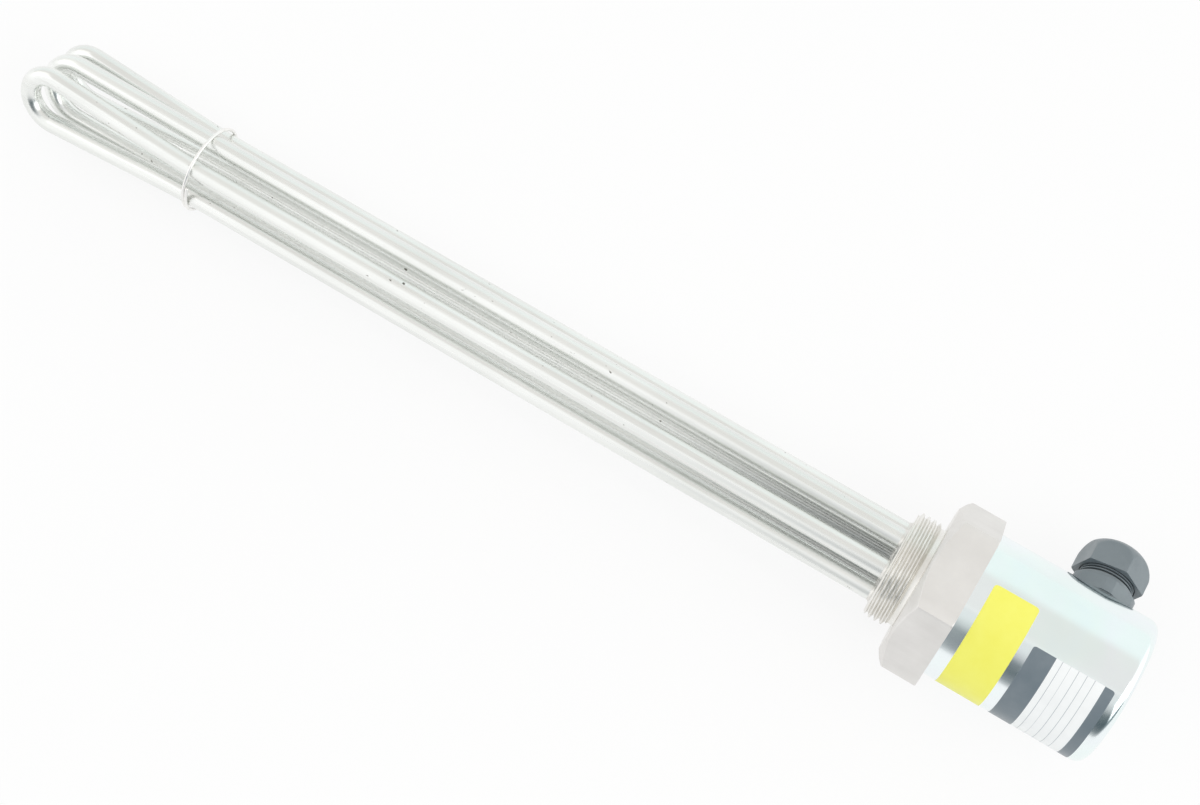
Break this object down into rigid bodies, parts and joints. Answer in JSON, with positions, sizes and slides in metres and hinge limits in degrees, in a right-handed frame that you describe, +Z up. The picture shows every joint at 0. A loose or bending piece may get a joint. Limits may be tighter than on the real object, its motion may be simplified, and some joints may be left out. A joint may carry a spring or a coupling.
{
  "type": "screw plug immersion heater",
  "caption": "Screw plug immersion heater: bent tubular hairpins in a threaded hexagon plug, with a round drawn steel terminal housing and a plastic cable gland on its side.",
  "frame": {"origin": "centre of the hexagon's thread-side sealing face, on the heater's axis", "axes": "+X along the heater's axis from the hairpin tips towards the terminal housing, +Z up with a flat of the hexagon underneath, +Y to the side of the cable gland"},
  "size_m": [0.4645, 0.0845, 0.06],
  "materials": {
    "plug_metal": "satin machined",
    "heater_tube": "bright annealed stainless",
    "hoop_wire": "drawn wire",
    "ceramic": "fired steatite",
    "terminal_steel": "plated",
    "terminal_brass": "turned",
    "zinc_sheet": "blue-passivated zinc",
    "gasket_rubber": "matt",
    "gland_plastic": "moulded polyamide"
  },
  "bodies": {
    "heater": {"screw_plug": "plug_metal", "hairpin_front": "heater_tube", "hairpin_middle": "heater_tube", "hairpin_back": "heater_tube", "binding_hoop": "hoop_wire", "end_insulator_1": "ceramic", "end_insulator_2": "ceramic", "end_insulator_3": "ceramic", "end_insulator_4": "ceramic", "end_insulator_5": "ceramic", "end_insulator_6": "ceramic", "terminal_pin_1": "terminal_steel", "terminal_pin_2": "terminal_steel", "terminal_pin_3": "terminal_steel", "terminal_pin_4": "terminal_steel", "terminal_pin_5": "terminal_steel", "terminal_pin_6": "terminal_steel", "terminal_base_nuts": "terminal_brass", "terminal_top_nuts": "terminal_brass", "line_washers": "terminal_brass", "star_link": "terminal_brass", "earth_screw": "terminal_steel", "earth_washer": "terminal_steel", "support_pillar": "terminal_steel", "rim_gasket": "gasket_rubber", "terminal_housing": "zinc_sheet", "housing_screw": "terminal_steel", "screw_seal": "gasket_rubber", "gland_gasket": "gasket_rubber", "gland_body": "gland_plastic", "gland_locknut": "gland_plastic", "gland_seal": "gasket_rubber"},
    "thrust_ring": {"gland_thrust_ring": "gland_plastic"},
    "dome_nut": {"gland_nut": "gland_plastic"}
  },
  "joints": [
    {"name": "gland_ring_travel", "type": "slide", "parent": "heater", "child": "thrust_ring", "axis": [0, 0.9816, -0.1908], "range_m": [0, 0.0048]},
    {"name": "gland_nut_turn", "type": "hinge", "parent": "thrust_ring", "child": "dome_nut", "pos_m": [0.058, 0.04047, -0.00787], "axis": [0, 0.9816, -0.1908], "range_deg": [0, 1440]}
  ],
  "couplings": [
    {"joint": "gland_ring_travel", "follows": "gland_nut_turn", "m_per_rad": 0.00019099}
  ]
}
